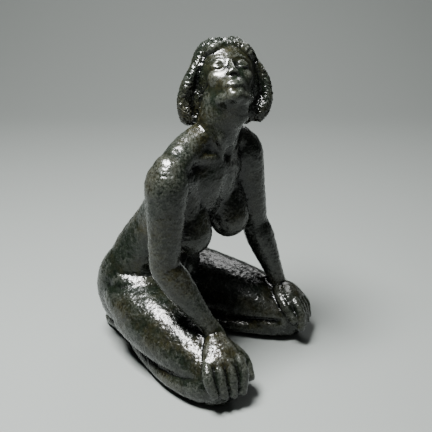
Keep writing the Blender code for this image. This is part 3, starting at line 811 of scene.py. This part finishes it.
def thinned(mesh, triangles):
    mesh.calc_loop_triangles()
    share = min(1.0, triangles / len(mesh.loop_triangles))
    bm = bmesh.new()
    bm.from_mesh(mesh)
    return evaluated(object_of("thinned", bm, [("DECIMATE", {"ratio": share})]))


def placing(mesh):
    """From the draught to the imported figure: same height, and the middles of both boxes together."""
    places = np.array([vertex.co for vertex in mesh.vertices])
    middle = (places.min(axis=0) + places.max(axis=0)) / 2
    low, high = (Vector(corner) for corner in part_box("figure"))
    scale = (high.z - low.z) / places[:, 2].max()
    centre = (low + high) / 2
    shift = Matrix.Translation((-middle[0], -middle[1], 0))
    return Matrix.Translation((centre.x, centre.y, low.z)) @ Matrix.Scale(scale, 4) @ shift


def bronze():
    """Cast bronze, waxed over a black-green patina with browner patches; its high places paler, partly
    rubbed and partly a painted highlight, and its hollows darker, partly patina and partly painted shade.
    """
    material = bpy.data.materials.new("waxed_bronze")
    material.use_nodes = True
    nodes, links = material.node_tree.nodes, material.node_tree.links
    shader = nodes["Principled BSDF"]
    where = nodes.new("ShaderNodeTexCoord").outputs["Object"]

    def noise_of(scale, detail, roughness):
        node = nodes.new("ShaderNodeTexNoise")
        node.inputs["Scale"].default_value = scale
        node.inputs["Detail"].default_value = detail
        node.inputs["Roughness"].default_value = roughness
        links.new(where, node.inputs["Vector"])
        return node.outputs["Fac"]

    def ranged(source, given, wanted):
        node = nodes.new("ShaderNodeMapRange")
        for name, value in zip(("From Min", "From Max", "To Min", "To Max"), (*given, *wanted)):
            node.inputs[name].default_value = value
        links.new(source, node.inputs["Value"])
        return node.outputs["Result"]

    def ramp(source, dark, light):
        node = nodes.new("ShaderNodeValToRGB")
        for element, at, colour in zip(node.color_ramp.elements, TONE_RANGE, (dark, light)):
            element.position = at
            element.color = (*colour, 1)
        links.new(source, node.inputs["Fac"])
        return node.outputs["Color"]

    def mixed(share, low, high):
        node = nodes.new("ShaderNodeMix")
        node.data_type = "RGBA"
        links.new(share, node.inputs["Factor"])
        for socket, source in ((node.inputs[6], low), (node.inputs[7], high)):
            if isinstance(source, tuple):
                socket.default_value = (*source, 1)
            else:
                links.new(source, socket)
        return node.outputs[2]

    # How far each place stands out: it sets patina and painted shade in hollows, rubbing and painted
    # highlight on ridges.
    wear_and_light, face = nodes.new("ShaderNodeAttribute"), nodes.new("ShaderNodeAttribute")
    wear_and_light.attribute_name = "wear_and_light"
    face.attribute_name = "face"
    # Ridges go paler, broken up by a noise: partly rubbed bronze, partly painted highlight.
    broken_rubbing_and_highlight = nodes.new("ShaderNodeMath")
    broken_rubbing_and_highlight.operation = "MULTIPLY"
    links.new(wear_and_light.outputs["Fac"], broken_rubbing_and_highlight.inputs[0])
    links.new(noise_of(*BREAK_NOISE), broken_rubbing_and_highlight.inputs[1])
    green = ramp(noise_of(*GREEN_NOISE), GREEN_DARK, GREEN_LIGHT)
    brown = ramp(noise_of(*BROWN_NOISE), BROWN_DARK, BROWN_LIGHT)
    patina = mixed(ranged(noise_of(*PATCH_NOISE), PATCH_RANGE, (0, 1)), green, brown)
    # Hollows go darker: partly the patina lying deeper there, partly painted shade.
    patina = mixed(ranged(wear_and_light.outputs["Fac"], HOLLOW_PATINA_AND_SHADE_RANGE, (0, 1)), HOLLOW_PATINA_AND_SHADE, patina)
    rubbed_and_highlit = ranged(broken_rubbing_and_highlight.outputs["Value"], RUBBED_AND_HIGHLIGHT_RANGE, (0, RUBBED_AND_HIGHLIGHT_MOST))
    links.new(mixed(rubbed_and_highlit, patina, RUBBED_AND_HIGHLIGHT), shader.inputs["Base Color"])
    shader.inputs["Metallic"].default_value = METALLIC
    shader.inputs["Specular IOR Level"].default_value = SPECULAR
    links.new(ranged(noise_of(*GLOSS_NOISE), GLOSS_RANGE, ROUGHNESS), shader.inputs["Roughness"])
    shader.inputs["Coat Weight"].default_value = WAX
    shader.inputs["Coat Roughness"].default_value = WAX_ROUGHNESS
    grain = nodes.new("ShaderNodeBump")
    links.new(ranged(face.outputs["Fac"], (0, 1), GRAIN_STRENGTH), grain.inputs["Strength"])
    grain.inputs["Distance"].default_value = GRAIN_DEPTH
    links.new(noise_of(*GRAIN_NOISE), grain.inputs["Height"])
    links.new(grain.outputs["Normal"], shader.inputs["Normal"])
    return material


def plain(name, colour, roughness):
    material = bpy.data.materials.new(name)
    material.use_nodes = True
    shader = material.node_tree.nodes["Principled BSDF"]
    shader.inputs["Base Color"].default_value = (*colour, 1)
    shader.inputs["Roughness"].default_value = roughness
    return material


def outwards(azimuth, elevation):
    """A direction out from the figure: azimuth is from her front, and more of it turns towards her left."""
    flat = math.cos(elevation)
    return Vector((math.sin(azimuth) * flat, -math.cos(azimuth) * flat, math.sin(elevation)))


def add_floor():
    """A floor that sweeps up into a backdrop far behind."""
    rows = [(FLOOR_NEAR, 0.0)]
    for angle in np.linspace(0, math.pi / 2, BEND_ROWS):
        far = FLOOR_BEND + BEND_RADIUS * math.sin(angle)
        rows.append((far, BEND_RADIUS - BEND_RADIUS * math.cos(angle)))
    rows.append((FLOOR_BEND + BEND_RADIUS, BACKDROP_TOP))
    away = -outwards(CAMERA_AZIMUTH, 0)
    across = Vector((away.y, -away.x, 0)) * FLOOR_HALF_WIDTH
    bm = bmesh.new()
    lines = []
    for far, up in rows:
        middle = away * far + Vector((0, 0, up))
        lines.append([bm.verts.new(middle - across), bm.verts.new(middle + across)])
    for near, far in zip(lines, lines[1:]):
        bm.faces.new((near[0], near[1], far[1], far[0]))
    mesh = bpy.data.meshes.new("floor")
    bm.to_mesh(mesh)
    bm.free()
    mesh.shade_smooth()
    floor = bpy.data.objects.new("floor", mesh)
    bpy.context.scene.collection.objects.link(floor)
    mesh.materials.append(plain("backdrop_paper", FLOOR_COLOUR, FLOOR_ROUGHNESS))


def add_camera(place):
    back = outwards(CAMERA_AZIMUTH, CAMERA_ELEVATION)
    right = Vector((math.cos(CAMERA_AZIMUTH), math.sin(CAMERA_AZIMUTH), 0))
    target = right * CAMERA_AIM[0] + Vector((0, 0, CAMERA_AIM[1]))
    camera = bpy.data.objects.new("camera", bpy.data.cameras.new("camera"))
    bpy.context.scene.collection.objects.link(camera)
    camera.location = place @ (target + back * CAMERA_DISTANCE)
    camera.rotation_euler = back.to_track_quat("Z", "Y").to_euler()
    camera.data.sensor_width = CAMERA_SENSOR
    camera.data.lens = CAMERA_LENS
    bpy.context.scene.camera = camera


def add_light(name, azimuth, elevation, distance, size, power):
    """A softbox that looks at the figure."""
    back = outwards(math.radians(azimuth), math.radians(elevation))
    light = bpy.data.objects.new(name, bpy.data.lights.new(name, "AREA"))
    light.data.shape = "RECTANGLE"
    light.data.size, light.data.size_y = size
    light.data.energy = power
    light.location = Vector((0, 0, LIGHT_AIM)) + back * distance
    light.rotation_euler = back.to_track_quat("Z", "Y").to_euler()
    bpy.context.scene.collection.objects.link(light)


def add_world():
    world = bpy.data.worlds.new("studio")
    world.use_nodes = True
    background = world.node_tree.nodes["Background"]
    background.inputs["Color"].default_value = (*SKY_COLOUR, 1)
    background.inputs["Strength"].default_value = SKY_STRENGTH
    bpy.context.scene.world = world


def add_figure():
    mesh = figure_mesh()
    lay_flat(mesh)
    mesh = thinned(mesh, TRIANGLES)
    lay_flat(mesh)
    note_wear_and_light(mesh)
    place = placing(mesh)
    mesh.transform(place)
    mesh.shade_smooth()
    mesh.materials.append(bronze())
    figure = bpy.data.objects.new("bronze_figure", mesh)
    bpy.context.scene.collection.objects.link(figure)
    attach(figure, "root")
    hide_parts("figure")
    return place


place = add_figure()
add_camera(place)
add_floor()
for light in LIGHTS:
    add_light(*light)
add_world()
